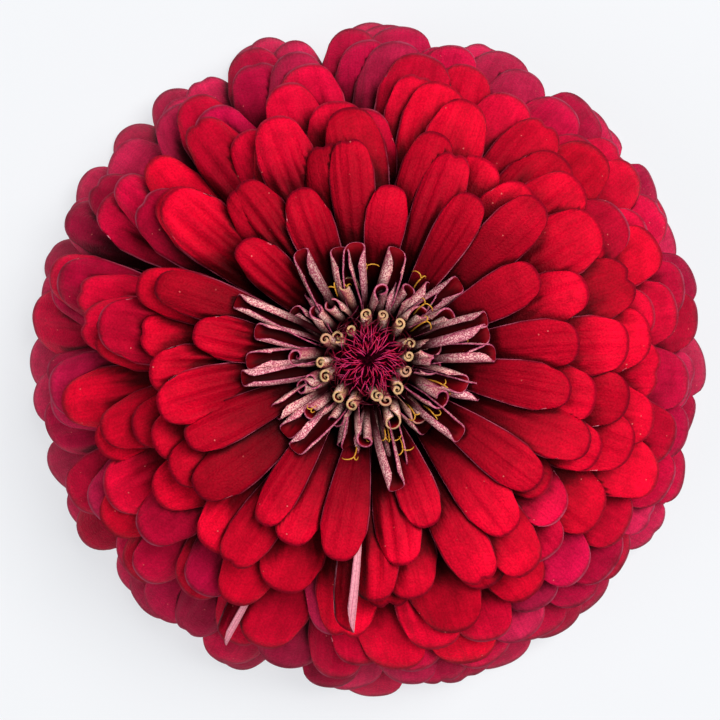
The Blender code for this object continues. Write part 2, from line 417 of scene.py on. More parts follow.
def face_colour(tree, age, along, veins, velvet):
    """The red of the blade. It turns with age, differs from petal to petal, and is dark in the claw, partly
    its own darker red and partly painted shade where the petals above cover it.
    """
    body = mix(tree, ramp(tree, age, ((0.40, 0.0), (0.95, 1.0))), FACE_RED, FACE_CRIMSON)
    body = mix(tree, ramp(tree, age, ((0.90, 0.0), (1.0, 0.75))), body, FACE_ROSE)
    # Painted shade: the top whorls, deep in the middle of the head, are darker
    body = toned(tree, body, age, ((0.0, 0.70), (0.30, 1.0)))
    grain = attribute(tree, "grain")
    body = toned(tree, body, grain, ((0.0, 0.62), (0.55, 0.96), (1.0, 1.12)), smooth=False)
    body = toned(tree, body, veins["Mask"], ((0.35, 0.80), (0.62, 1.06)), 0.45)
    body = toned(tree, body, velvet["Mottle"], ((0.30, 0.70), (0.68, 1.12)), 0.65)
    body = toned(tree, body, velvet["Pile"], ((0.32, 0.72), (0.68, 1.14)), 0.6)
    # Painted shade: on older whorls the dark claw colour reaches further out, towards where the petals above
    # stop covering them
    shown = maths(tree, "SUBTRACT", along, times(tree, age, 0.12))
    claw = ramp(tree, shown, ((0.20, 1.0), (0.55, 0.74), (0.90, 0.0)), smooth=False)
    return mix(tree, claw, body, FACE_CLAW_AND_SHADE)


def edge_masks(tree, age, along, side, mottle):
    """How much a point belongs to the dark edge of a blade, which at the tip is painted shadow, and to the
    thin pale rim on that edge.
    """
    # Along the sides this is the margin's own darker line; at the tip it is painted shadow cast on the petal
    # under it
    edge = maths(tree, "MAXIMUM", ramp(tree, side, ((0.90, 0.0), (0.97, 1.0))),
                 ramp(tree, along, ((0.980, 0.0), (0.994, 1.0))))
    edge = times(tree, edge, maths(tree, "MULTIPLY_ADD", age, -0.35, third=0.68))
    rim = times(tree, ramp(tree, side, ((0.955, 0.0), (0.985, 1.0))),
                ramp(tree, along, ((0.62, 0.8), (0.94, 0.15))))
    tip = times(tree, ramp(tree, along, ((0.989, 0.0), (0.998, 1.0))),
                ramp(tree, age, ((0.40, 0.0), (0.75, 0.9))))
    rim = maths(tree, "MAXIMUM", rim, tip)
    return edge, times(tree, rim, ramp(tree, mottle, ((0.36, 0.2), (0.60, 1.0))))


def build_petal_face():
    """The velvet upper face of an open petal."""
    made, tree = new_material("petal face", roughness=0.55, sheen=0.06)
    veins = place_group(tree, VEINS, Count=30.0, Grain=attribute(tree, "grain"))
    velvet = place_group(tree, VELVET)
    along, side = petal_axes(tree)
    age = attribute(tree, "ring")
    edge, rim = edge_masks(tree, age, along, side, velvet["Mottle"])
    body = mix(tree, edge, face_colour(tree, age, along, veins, velvet), EDGE_DARK_AND_SHADOW)
    body = mix(tree, rim, shaded(tree, body), RIM_PINK)
    specks = times(tree, velvet["Specks"], ramp(tree, along, ((0.6, 0.0), (0.9, 0.8))))
    body = mix(tree, specks, body, SPECK_PINK)
    height = maths(tree, "ADD", times(tree, veins["Mask"], 0.5), velvet["Pile"])
    height = maths(tree, "ADD", height, times(tree, veins["Pleats"], 3.6))
    return dress(made, body, height, 0.16 * MM)


# %% Reverse and margin
REVERSE_PINK = (0.92, 0.44, 0.50)
REVERSE_VEIN = (0.58, 0.08, 0.16)
MARGIN_DARK = (0.16, 0.004, 0.022)
MARGIN_PINK = (0.66, 0.20, 0.27)


def build_petal_reverse():
    """The paler, veined underside of an open petal."""
    made, tree = new_material("petal reverse", roughness=0.7, sheen=0.06)
    veins = place_group(tree, VEINS, Count=60.0, Grain=attribute(tree, "grain"))
    velvet = place_group(tree, VELVET)
    lines = ramp(tree, veins["Mask"], ((0.36, 0.62), (0.62, 0.0)))
    body = mix(tree, lines, REVERSE_PINK, REVERSE_VEIN)
    body = toned(tree, body, velvet["Pile"], ((0.34, 0.76), (0.64, 1.08)), 0.8)
    along, _ = petal_axes(tree)
    body = mix(tree, ramp(tree, along, ((0.35, 0.0), (1.0, 0.25))), body, REVERSE_VEIN)
    return dress(made, body, maths(tree, "ADD", veins["Mask"], velvet["Pile"]), 0.08 * MM)


def build_petal_margin():
    """The thin rim of a petal: dark, with a fringe of tiny pale cells in places."""
    made, tree = new_material("petal margin", roughness=0.7, sheen=0.1)
    velvet = place_group(tree, VELVET, Fineness=0.6)
    along, _ = petal_axes(tree)
    fringe = times(tree, ramp(tree, velvet["Pile"], ((0.36, 0.3), (0.60, 1.0))),
                   ramp(tree, velvet["Mottle"], ((0.40, 0.25), (0.60, 1.0))))
    fringe = times(tree, fringe, ramp(tree, along, ((0.80, 1.0), (0.96, 0.65))))
    body = shaded(tree, mix(tree, fringe, MARGIN_DARK, MARGIN_PINK))
    return dress(made, body, velvet["Pile"], 0.06 * MM)


PETAL_FINISH = (build_petal_face(), build_petal_reverse(), build_petal_margin())
print("petal finishes:", [material.name for material in PETAL_FINISH])

# %% [markdown]
# ## One petal, flat
#
# A ray petal is a spatula: a narrow claw, a blade that is widest towards its end, and a round tip. It could
# be modelled bent from the start, but then every petal would bend in the same way. So it is modelled flat,
# one unit long and one unit wide, from a grid whose rows are scaled in edit mode. The curves come later.

# %% Flat petal sheets
PETAL_ROWS = 26
PETAL_COLUMNS = 18
YOUNG_ROWS = 16
YOUNG_COLUMNS = 20
RAY_OUTLINE = ((0, 0.20), (0.14, 0.26), (0.32, 0.46), (0.55, 0.76), (0.74, 0.96), (0.88, 1.0), (1.0, 0.88))
YOUNG_OUTLINE = ((0, 0.40), (0.2, 0.62), (0.5, 0.95), (0.8, 1.0), (1.0, 0.92))


def look_up(table, place):
    """The value at a place in a table of (place, value) rows."""
    return float(np.interp(place, [row[0] for row in table], [row[1] for row in table]))


def model_sheet(name, outline, rows, columns):
    """A flat petal from X = 0 to 1, at most one unit wide, still with a square tip."""
    clear_selection()
    bpy.ops.mesh.primitive_grid_add(
        x_subdivisions=rows, y_subdivisions=columns, size=1, location=(0.5, 0, 0), calc_uvs=True
    )
    sheet = new_piece(name)
    set_place(sheet)
    bpy.ops.object.mode_set(mode="EDIT")
    for i in range(rows + 1):
        place = i / rows
        select_where(sheet, lambda co: abs(co.x - place) < 0.5 / rows)
        bpy.ops.transform.resize(value=(1, look_up(outline, place), 1), center_override=(place, 0, 0))
    bpy.ops.object.mode_set(mode="OBJECT")
    side = sheet.data.attributes.new("side", "FLOAT", "POINT")
    for vertex in sheet.data.vertices:
        side.data[vertex.index].value = 2 * vertex.co.y / look_up(outline, vertex.co.x)
    sheet.data.shade_smooth()
    return sheet


RAY_SHEET = model_sheet("sheet_open", RAY_OUTLINE, PETAL_ROWS, PETAL_COLUMNS)
YOUNG_SHEET = model_sheet("sheet_young", YOUNG_OUTLINE, YOUNG_ROWS, YOUNG_COLUMNS)
print("a flat petal has", len(RAY_SHEET.data.polygons), "faces")

# %% [markdown]
# ## Bending a petal into place
#
# Every petal leaves the cone of the head at its own height, rises, and falls over towards its tip. Its
# midline is a curve whose slope turns steadily. Across the midline the sheet is rolled: down at the edges
# on an open petal, up into a tube on a young one. A Curve modifier could bend a sheet along a line, but it
# can't roll the edges as well, so a formula moves the points. The roll is an arc whose turn can differ on
# the two sides, which makes a channel, a scroll or a flat blade from the same few numbers.


# %% Midline and section
BEND_POWER = 1.1
PATH_STEPS = 60
PATH_OVERRUN = 1.25
ROLL_STEPS = 16


def midline(base, rise, fall, length):
    """A function from a distance along a petal to (radius, height), all as arrays."""
    share = (np.arange(PATH_STEPS * PATH_OVERRUN) + 0.5) / PATH_STEPS
    slope = rise + (fall - rise) * share**BEND_POWER
    step = length / PATH_STEPS
    radius = base[0] + step * np.concatenate([[0], np.cumsum(np.cos(slope))])
    height = base[1] + step * np.concatenate([[0], np.cumsum(np.sin(slope))])
    marks = step * np.arange(len(radius))

    def at(distance):
        return np.interp(distance, marks, radius), np.interp(distance, marks, height)

    return at


def section(side, turn, tighten):
    """How far a rolled sheet reaches across and up, as shares of the half width of its row.

    side runs from -1 to 1 across the sheet, turn is the angle that its edge has turned by.
    """
    part = np.abs(side)[:, None] * (np.arange(ROLL_STEPS) + 0.5) / ROLL_STEPS
    angle = turn[:, None] * (part + tighten * part**2) / (1 + tighten)
    across = side * np.cos(angle).mean(1)
    up = np.abs(side) * np.sin(angle).mean(1)
    return across, up


def blend(ends, share):
    """The value at this share of the way between a pair of ends."""
    return ends[0] + (ends[1] - ends[0]) * share


# %% Copies and numbers on points
def copy_of(model):
    """A copy of a model with a mesh of its own."""
    copy = bpy.data.objects.new(model.name, model.data.copy())
    bpy.context.scene.collection.objects.link(copy)
    return copy


def set_points(mesh, places):
    """Moves all the points of a mesh to these places."""
    mesh.vertices.foreach_set("co", places.astype(np.float32).ravel())


def unit(rows):
    """Every row of an array, made one long."""
    return rows / np.linalg.norm(rows, axis=1)[:, None]


def read_points(mesh, name="position", size=3):
    """The numbers of a mesh's point attribute, as rows."""
    values = np.empty(len(mesh.vertices) * size, np.float32)
    kind = "vector" if size == 3 else "value"
    mesh.attributes[name].data.foreach_get(kind, values)
    return values.reshape(-1, size).astype(float)


def store(mesh, name, values):
    """Keeps one number for every point of a mesh."""
    layer = mesh.attributes.get(name) or mesh.attributes.new(name, "FLOAT", "POINT")
    layer.data.foreach_set("value", np.broadcast_to(values, len(mesh.vertices)).astype(np.float32))


# %% Laying a sheet
PLEAT_WAVES = 3.2
PLEAT_SPAN = ((0.3, 0.7, 0.84, 0.98), (0, 1, 0.9, 0.04))
TIP_CURVE = 2.5
TIP_REACH = 6
DENT_WIDTH = 0.18
MIDDLE = 0.001


def face_directions(forward, beside, twist, x):
    """The directions across a petal and out of its face at every point, turned about its midline."""
    across = unit(np.cross(np.cross(forward, beside), forward))
    normal = np.cross(forward, across)
    spin = np.radians(blend(twist, x))[:, None]
    return across * np.cos(spin) + normal * np.sin(spin), normal * np.cos(spin) - across * np.sin(spin)


def lay(sheet, path, azimuth, length, width, roll, fade=1.0, lift=(0, 0), sway=0.0, lean=0.0,
        twist=(0, 0), pleat=0.0, pleat_phase=0.0, tighten=0.0, tip=1.0, notch=0.0, ring=0.0, grain=0.5):
    """A copy of a flat sheet, bent along its path and placed round the axis.

    roll is ((turn at the claw, at the tip) on one side, the same on the other side), in degrees.
    lift raises the petal, sway and lean carry it sideways, and twist turns it about its midline.
    tip is how round its tip is, and notch how deep the dent in its tip is.
    """
    copy = copy_of(sheet)
    flat, side = read_points(copy.data), read_points(copy.data, "side", 1)[:, 0]
    out = np.array((math.cos(azimuth), math.sin(azimuth), 0))
    beside = np.array((-math.sin(azimuth), math.cos(azimuth), 0))
    dent = notch * np.exp(-((side / DENT_WIDTH) ** 2))
    round_off = 1 - np.sqrt(1 - 0.98 * np.abs(side) ** TIP_CURVE) + dent
    x = flat[:, 0] - tip * width / 2 / length * round_off * flat[:, 0] ** TIP_REACH
    middle = np.abs(side) < MIDDLE
    half = np.where(middle, 0, flat[:, 1] / np.where(middle, 1, side) * width)

    def centre(place):
        radius, height = path(place * length)
        rise = lift[0] * place + lift[1] * place**2
        aside = lean * place + sway * place**2
        return radius[:, None] * out + (height + rise)[:, None] * (0, 0, 1) + aside[:, None] * beside

    forward = unit(centre(x + 0.01) - centre(x - 0.01))
    across, normal = face_directions(forward, beside, twist, x)
    left, right = (claw * (1 - x) ** fade + end * x for claw, end in roll)
    reach, up = section(side, np.radians(np.where(side > 0, left, right)), tighten)
    waves = np.cos(side * math.pi * PLEAT_WAVES + pleat_phase) * (1 - side**4)
    ripple = pleat * waves * np.interp(x, *PLEAT_SPAN)
    out_of_line = across * (reach * half)[:, None] + normal * (up * half + ripple)[:, None]
    set_points(copy.data, centre(x) + out_of_line)
    store(copy.data, "ring", ring)
    store(copy.data, "grain", grain)
    return copy


# %% Thickness and finishes
def ride_as(piece, slot, *nodes):
    """Lets a finished piece ride on the body, and stands the solids that it covers down. slot is not used."""
    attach(piece, "root")
    if nodes:
        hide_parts(*nodes)
    return piece


def finish_sheet(piece, thickness, materials, slot, *nodes):
    """Gives laid sheets their thickness and finishes."""
    for material in materials:
        piece.data.materials.append(material)
    wall = piece.modifiers.new("thickness", "SOLIDIFY")
    wall.thickness = thickness
    wall.offset = -1
    wall.material_offset = 1
    wall.material_offset_rim = 2
    apply_all(piece)
    return ride_as(piece, slot, *nodes)


# %% [markdown]
# ## The dark between petals
#
# Deep between the petals of a real head it is nearly black, because each velvet petal soaks up most of the
# light that reaches it. The shade could be painted on by hand, but 285 petals hide each other in too many
# ways. So it is measured: rays go up from every point, and the share of them that gets past the
# neighbours is kept on the point as a number, which the finishes read.

# %% Shelter from the light
GOLDEN_ANGLE = math.radians(137.508)
SKY_DIRECTIONS = 26
SKY_SPAN = 1.15
SKY_REACH = 9 * MM
SKIN_GAP = 0.3 * MM
GLANCING = 0.1


def measure_open_sky(pieces, blockers, name="open_sky", way=1):
    """Stores how much open sky every point of these sheets sees past the blockers, from 0 to 1.

    way is 1 for the upper face of the sheets and -1 for their reverse.
    """
    sky = []
    for i in range(SKY_DIRECTIONS):
        height = 1 - SKY_SPAN * (i + 0.5) / SKY_DIRECTIONS
        flat = math.sqrt(1 - height**2)
        sky.append(Vector((flat * math.cos(i * GOLDEN_ANGLE), flat * math.sin(i * GOLDEN_ANGLE), height)))
    corners, faces = [], []
    for piece in blockers:
        start = len(corners)
        corners.extend(vertex.co.copy() for vertex in piece.data.vertices)
        faces.extend([start + v for v in face.vertices] for face in piece.data.polygons)
    tree = BVHTree.FromPolygons(corners, faces)
    for piece in pieces:
        seen = []
        for vertex, normal in zip(piece.data.vertices, piece.data.vertex_normals):
            outward = way * normal.vector
            start = vertex.co + SKIN_GAP * outward
            free = total = 0.0
            for direction in sky:
                weight = direction.dot(outward)
                if weight > GLANCING:
                    total += weight
                    if tree.ray_cast(start, direction, SKY_REACH)[0] is None:
                        free += weight
            seen.append(free / total if total else 0)
        store(piece.data, name, np.array(seen))


# %% [markdown]
# ## The whorls of open petals
#
# The solids hold fourteen whorls. The plan below repeats their numbers, so each finished petal lies where
# its solid lies. What makes a real head look alive is added on top: the whole dome swells and sinks a
# little as one goes round it, each petal leans and twists in its own way, and its edges roll down by a
# different amount. Full chance would look untidy, so each of these is drawn from a narrow range, with a
# fixed seed that gives the same head every time.

# %% The plan of the whorls
SEED = 41
RAY_COUNTS = (12, 12, 13, 13, 14, 15, 16, 17, 18, 19, 20, 20, 18, 16)
CONE_FOOT = (8.1 * MM, 16.9 * MM)
CONE_SHOULDER = (5.2 * MM, 36.9 * MM)
DOME_RISE = 2.1 * MM
RAY_STAND_OFF = 0.75 * MM
RAY_BASE_Z = (36.4 * MM, 17.35 * MM)
RAY_LENGTH = (24.5 * MM, 54.5 * MM)
RAY_RISE = (62, 18)
RAY_FALL = (-2, -62)
RAY_LENGTH_POWER = 0.8
RAY_FALL_POWER = 0.95
RAY_WIDTH = (8.6 * MM, 11.4 * MM)
TURN_SPREAD = 0.1
REACH_SPREAD = (0.18, 0.06)
EVEN_AZIMUTH = -math.tau / RAY_COUNTS[-1]
WIDTH_SPREAD = 0.12
PETAL_THICKNESS = 0.2 * MM


def petal_plan(count, length, width, reach_spread, first, seed, steady=0):
    """The (azimuth, length, width) of each petal of a crown, as the solids have them."""
    draw = random.Random(seed)
    plan = []
    for i in range(count):
        swing, short, slim = draw.uniform(-1, 1), draw.random(), draw.random()
        if steady and i % steady == 0:
            swing = short = slim = 0
        azimuth = first + (i + TURN_SPREAD * swing) * math.tau / count
        plan.append((azimuth, length * (1 - reach_spread * short), width * (1 - WIDTH_SPREAD * slim)))
    return plan


def whorl_path(share):
    """The midline of the whorl at this share of the way from the top whorl to the lowest."""
    height = blend(RAY_BASE_Z, share)
    sunk = (CONE_SHOULDER[1] - height) / (CONE_SHOULDER[1] - CONE_FOOT[1])
    cone = blend((CONE_SHOULDER[0], CONE_FOOT[0]), sunk)
    rise = math.radians(blend(RAY_RISE, share))
    fall = math.radians(blend(RAY_FALL, share**RAY_FALL_POWER))
    length = blend(RAY_LENGTH, share**RAY_LENGTH_POWER)
    return midline((cone + RAY_STAND_OFF, height), rise, fall, length), length


# %% Swells, a cleft and an arched side
SWELL_HEIGHT = 1.2 * MM
# Height, waves round the head, turn, and how far the wave drifts from the top whorl to the lowest
SWELLS = ((0.5, 2, 0.9, 1.5), (0.3, 3, -1.2, -2.5), (0.3, 7, 2.1, 4.0))
SMOOTH_SIDE = math.radians(-25)
PARTING_AZIMUTH = math.radians(137)
PARTING_WIDTH = math.radians(16)
PARTING_REACH = 2.2 * MM
PARTING_SHARE = 0.35


def swell(azimuth, share):
    """How far the dome stands out here, from about -1 to 1. It changes slowly from whorl to whorl."""
    return sum(high * math.sin(waves * azimuth + turn + drift * share) for high, waves, turn, drift in SWELLS)


def parting(azimuth, share):
    """How far a petal leans away from the dark cleft in the upper left of the head."""
    off = (azimuth - PARTING_AZIMUTH + math.pi) % math.tau - math.pi
    near = math.exp(-((off / PARTING_WIDTH) ** 2)) * math.exp(-((share / PARTING_SHARE) ** 2))
    return math.copysign(PARTING_REACH * near, off)


def arching(azimuth):
    """How strongly the petals arch here: 0 on the smooth right of the head, 1 on its left."""
    return 0.5 - 0.5 * math.cos(azimuth - SMOOTH_SIDE)


# %% An open petal
# Degrees that its edges roll down, how much more on the arched side, and how its claw is cupped
EDGE_ROLL, ARCHED_ROLL, ROLL_SKEW, CLAW_CUP = (2, 24), (16, 62), (-14, 14), (30, 85)
CUP_LOSS, CLAW_FADE = 0.6, 2.2
TIP_TWIST = (-15, 15)
# A lift in mm, and how much of it comes steadily and how much of it towards the tip
LIFT_SPREAD, LIFT_SHARES = (-0.6, 0.7), (0.2, 0.8)
LEAN_SHARES = (-0.5, 0.5)
# How freely it sways, in mm, on the smooth side and how much more on the arched one
LOOSENESS = (1.3, 1.2)
NARROWING = ((0, 0.3, 1), (0.80, 1.08, 1.10))
WIDTH_RANGE = (0.94, 1.1)
UPPER_SHARE = 0.35
UPPER_STRETCH = (0.07, 0.09)
CRESCENT = 5 * MM
CRESCENT_CHANCE, CRESCENT_FROM = 0.45, 0.2
# Pleats: the chance of deep ones, the deep and the shallow depths in mm, and how far they shift
PLEAT_CHANCE, DEEP_PLEATS, SHALLOW_PLEATS, PLEAT_SHIFT = 0.3, (0.18, 0.34), (0.02, 0.10), (-0.8, 0.8)
NOTCH_CHANCE, NOTCH_DEPTH = 0.14, (0.08, 0.2)
TIP_ROUNDNESS = (0.8, 1.2)
PINK_SPREAD, LEFT_PINK = 0.12, 0.14
# The lowest whorls are held by the ones above, so they are moved less
SETTLING = ((0.75, 0.95), (1.0, 0.25))


def open_petal(share, path, petal, draw):
    """One open petal at this share of the way from the top whorl to the lowest."""
    azimuth, length, width = petal
    arch = arching(azimuth)
    down = draw.uniform(*EDGE_ROLL) + arch * draw.uniform(*ARCHED_ROLL)
    skew = draw.uniform(*ROLL_SKEW)
    cup = draw.uniform(*CLAW_CUP) * (1 - CUP_LOSS * share)
    settled = float(np.interp(share, *SETTLING))
    lift = (SWELL_HEIGHT * swell(azimuth, share) + draw.uniform(*LIFT_SPREAD) * MM) * settled
    loose = LOOSENESS[0] + LOOSENESS[1] * arch
    width *= float(np.interp(share, *NARROWING)) * draw.uniform(*WIDTH_RANGE)
    curved = draw.random() < CRESCENT_CHANCE * arch and share > CRESCENT_FROM
    crescent = draw.uniform(-CRESCENT, CRESCENT) if curved else 0
    upper = max(0.0, 1 - share / UPPER_SHARE)
    length *= 1 + upper * (UPPER_STRETCH[0] + UPPER_STRETCH[1] * (1 - arch))
    pleated = draw.random() < PLEAT_CHANCE * (1 + arch)
    notched = draw.random() < NOTCH_CHANCE
    pinker = draw.gauss(0, PINK_SPREAD)
    pinker += PINK_SPREAD if pinker > PINK_SPREAD else 0
    return lay(
        RAY_SHEET,
        path,
        azimuth,
        length,
        width,
        roll=((cup, -down - skew), (cup, -down + skew)),
        fade=CLAW_FADE,
        lift=[part * lift for part in LIFT_SHARES],
        sway=(draw.uniform(-loose, loose) * MM + crescent) * settled + parting(azimuth, share),
        lean=draw.uniform(*LEAN_SHARES) * loose * MM,
        twist=(0, draw.uniform(*TIP_TWIST)),
        pleat=(draw.uniform(*DEEP_PLEATS) * (1 + arch) if pleated else draw.uniform(*SHALLOW_PLEATS)) * MM,
        pleat_phase=draw.uniform(*PLEAT_SHIFT),
        tip=draw.uniform(*TIP_ROUNDNESS),
        notch=draw.uniform(*NOTCH_DEPTH) if notched else 0,
        ring=min(1.0, max(0.0, share + pinker + LEFT_PINK * arch * share)),
        grain=draw.random(),
    )


# %% A folded petal
# Whorl counted from 0, azimuth, length compared with its neighbours, flat width
FOLDED_PETALS = ((3, math.radians(266), 1.06, 6.0 * MM), (8, math.radians(243), 0.95, 5.0 * MM))


def folded_petal(path, azimuth, length, width, share):
    """A petal whose edges have rolled up round it, so it shows its pale reverse."""
    return lay(
        RAY_SHEET,
        path,
        azimuth,
        length,
        width,
        roll=((150, 150), (120, 100)),
        lift=(0.6 * MM, 1.4 * MM),
        twist=(0, 40),
        tighten=0.4,
        tip=1.6,
        ring=share,
        grain=0.3,
    )


# %% Lay the whorls
WHORL_SEED = 1000


def lay_whorl(k):
    """All the petals of one whorl, joined into one piece."""
    last = len(RAY_COUNTS) - 1
    share = k / last
    path, length = whorl_path(share)
    steady = RAY_COUNTS[k] // 4 if k == last else 0
    first = 0 if k == last else EVEN_AZIMUTH + (last - k) % 2 * math.pi / RAY_COUNTS[k]
    width, reach_spread = blend(RAY_WIDTH, share), blend(REACH_SPREAD, share)
    plan = petal_plan(RAY_COUNTS[k], length, width, reach_spread, first, SEED + k, steady)
    draw = random.Random(WHORL_SEED + k)
    petals = [open_petal(share, path, petal, draw) for petal in plan]
    for whorl, azimuth, longer, wide in FOLDED_PETALS:
        if whorl == k:
            place = min(range(len(plan)), key=lambda i: abs(math.remainder(plan[i][0] - azimuth, math.tau)))
            bpy.data.objects.remove(petals[place])
            petals[place] = folded_petal(path, azimuth, length * longer, wide, share)
    return join(f"petals_{k + 1:02d}", petals)


whorls = [lay_whorl(k) for k in range(len(RAY_COUNTS))]
print("open petals:", sum(RAY_COUNTS), "faces:", sum(len(whorl.data.polygons) for whorl in whorls))

# %% [markdown]
# ## Young rays
#
# Towards the middle the rays are still rolled. The youngest are closed scrolls that show only their end:
# a cream wall round a dark mouth. Further out they lean over, and their edges begin to part. A rolled ray
# shows its reverse, so its finish is turned round: a pale, speckled skin outside and crimson inside.
#
# A scroll could be a tube with a spiral drawn in its end. It is a real sheet that is rolled up, because
# then its edges, its mouth and the shade inside it come out right from every side.

# %% Finish of the young rays
YOUNG_CREAM = (0.72, 0.41, 0.20)
YOUNG_PALE = (0.94, 0.42, 0.46)
YOUNG_SPECKLE = (0.36, 0.008, 0.075)
# Painted light on the rolled rays: shade on the flanks, a highlight along the ridge, shade at the foot
YOUNG_FLANK_SHADE = (0.34, 0.025, 0.070)
YOUNG_RIDGE_HIGHLIGHT = (0.98, 0.68, 0.60)
YOUNG_FOOT_SHADE = (0.022, 0.0006, 0.002)
YOUNG_INSIDE = (0.20, 0.001, 0.006)
YOUNG_RIM = (0.36, 0.04, 0.10)
YOUNG_RIM_PALE = (0.62, 0.16, 0.25)
YOUNG_RIM_CREAM = (0.44, 0.29, 0.14)


def build_young_reverse():
    """The pale outside of a rolled ray: cream on buds, pink on opening rays, speckled with magenta, with
    painted shade on its flanks and at its foot and a painted highlight along its ridge.
    """
    made, tree = new_material("young ray reverse", roughness=0.6, specular=0.08)
    velvet = place_group(tree, VELVET, Fineness=1.5)
    veins = place_group(tree, VEINS, Count=16.0, Grain=attribute(tree, "grain"))
    along, side = petal_axes(tree)
    age = attribute(tree, "ring")
    body = mix(tree, age, YOUNG_CREAM, YOUNG_PALE)
    # Painted shade on the flanks of the roll, away from its lit ridge
    body = mix(tree, ramp(tree, side, ((0.30, 0.85), (0.68, 0.0))), body, YOUNG_FLANK_SHADE)
    # Painted highlight along the ridge of the roll, weaker on older rays
    ridge_highlight = ramp(tree, side, ((0.52, 0.0), (0.76, 0.8), (0.96, 0.05)))
    ridge_highlight = times(tree, ridge_highlight, maths(tree, "MULTIPLY_ADD", age, -0.6, third=1.1))
    body = mix(tree, ridge_highlight, body, YOUNG_RIDGE_HIGHLIGHT)
    cover = maths(tree, "MULTIPLY_ADD", age, 0.08, third=0.41)
    cover = maths(tree, "ADD", cover, times(tree, along, 0.06))
    cover = maths(tree, "ADD", cover, maths(tree, "MULTIPLY_ADD", veins["Mask"], 0.25, third=-0.125))
    spots = maths(tree, "SUBTRACT", cover, velvet["Pile"])
    spots = ramp(tree, maths(tree, "MULTIPLY_ADD", spots, 8.0, third=0.5), ((0.2, 0.0), (0.8, 1.0)))
    body = mix(tree, times(tree, spots, 0.8), body, YOUNG_SPECKLE)
    body = toned(tree, body, velvet["Mottle"], ((0.30, 0.70), (0.65, 1.25)), 0.7)
    # Painted shade: the foot of each rolled ray, down between its neighbours, goes nearly black
    grown = maths(tree, "ADD", along, times(tree, age, 0.20))
    body = mix(tree, ramp(tree, grown, ((0.62, 1.0), (0.98, 0.0))), body, YOUNG_FOOT_SHADE)
    grain = attribute(tree, "grain")
    body = toned(tree, body, grain, ((0.0, 0.52), (0.5, 0.92), (1.0, 1.15)), smooth=False)
    body = shaded(tree, body, 0.03, 0.66, "open_sky_back")
    return dress(made, body, maths(tree, "ADD", velvet["Pile"], veins["Mask"]), 0.08 * MM)


def build_young_inside():
    """The crimson upper face inside a rolled ray."""
    made, tree = new_material("young ray inside", roughness=0.6, sheen=0.05)
    velvet = place_group(tree, VELVET)
    along, _ = petal_axes(tree)
    # Darker towards the foot: the claw's own dark red, together with painted shade deep inside the scroll
    body = mix(tree, ramp(tree, along, ((0.3, 0.0), (1.0, 1.0))), FACE_CLAW_AND_SHADE, YOUNG_INSIDE)
    body = toned(tree, body, velvet["Mottle"], ((0.30, 0.7), (0.65, 1.2)), 0.7)
    return dress(made, shaded(tree, body), velvet["Pile"], 0.05 * MM)


def build_young_rim():
    """The pink rim of a young ray."""
    made, tree = new_material("young ray rim", roughness=0.6, specular=0.15)
    velvet = place_group(tree, VELVET, Fineness=0.7)
    fringe = ramp(tree, velvet["Pile"], ((0.40, 0.0), (0.62, 1.0)))
    pink = mix(tree, fringe, YOUNG_RIM, YOUNG_RIM_PALE)
    cream = mix(tree, fringe, YOUNG_CREAM, YOUNG_RIM_CREAM)
    youth = ramp(tree, attribute(tree, "ring"), ((0.15, 1.0), (0.45, 0.0)))
    return dress(made, mix(tree, youth, pink, cream), velvet["Pile"], 0.05 * MM)


YOUNG_FINISH = (build_young_inside(), build_young_reverse(), build_young_rim())
print("young finishes:", [material.name for material in YOUNG_FINISH])

# %% The shapes of the young rays
# For each ring: its place on the dome in degrees from the top, how many rays it has, the slopes of their
# midlines in degrees, their length and flat width, then how much each ray may differ from the others.
# A scroll is given by the degrees that its two edges turn by, at the claw and at the tip.
YOUNG_RINGS = {
    "opening_rays": dict(
        place=62, count=26, rise=58, fall=18, length=17.0 * MM, width=6.2 * MM, thickness=0.20 * MM,
        droop=(-6, 22), stretch=(0.60, 1.16), wider=(0.9, 1.1), tip=(0.6, 1.3), sway=2.6 * MM,
        scroll=((150, 190), (180, 230), (50, 120), (100, 170)),
        tighten=0.5, twist=(-35, 35), age=(0.65, 1.1),
    ),
    "rolled_rays": dict(
        place=40, count=20, rise=32, fall=66, length=12.5 * MM, width=6.4 * MM, thickness=0.26 * MM,
        droop=(-4, 34), stretch=(0.68, 0.98), wider=(0.85, 1.1), tip=(0.45, 1.2), sway=1.6 * MM,
        scroll=((200, 250), (280, 370), (110, 160), (140, 220)),
        tighten=0.8, twist=(-50, 50), age=(0.2, 0.75),
    ),
    "ray_buds": dict(
        place=24, count=16, rise=40, fall=84, length=9.4 * MM, width=4.3 * MM, thickness=0.32 * MM,
        droop=(-14, 20), stretch=(0.88, 1.02), wider=(0.72, 1.15), tip=(0.4, 0.9), sway=0.8 * MM,
        scroll=((250, 290), (400, 480), (150, 190), (220, 280)),
        tighten=1.0, twist=(-20, 20), age=(-0.1, 0.3),
    ),
}
YOUNG_REACH_SPREAD = 0.22
YOUNG_SEAT = 0.775 * MM
YOUNG_SEED = SEED + 100
AZIMUTH_SPREAD = 0.07


def dome_point(angle, offset):
    """(radius, height) outside the dome that ends the cone, at an angle from its top."""
    direction = Vector((math.sin(angle), math.cos(angle)))
    outward = Vector((direction.x / CONE_SHOULDER[0], direction.y / DOME_RISE)).normalized()
    radius = CONE_SHOULDER[0] * direction.x + offset * outward.x
    return radius, CONE_SHOULDER[1] + DOME_RISE * direction.y + offset * outward.y


print("young rays:", sum(ring["count"] for ring in YOUNG_RINGS.values()))


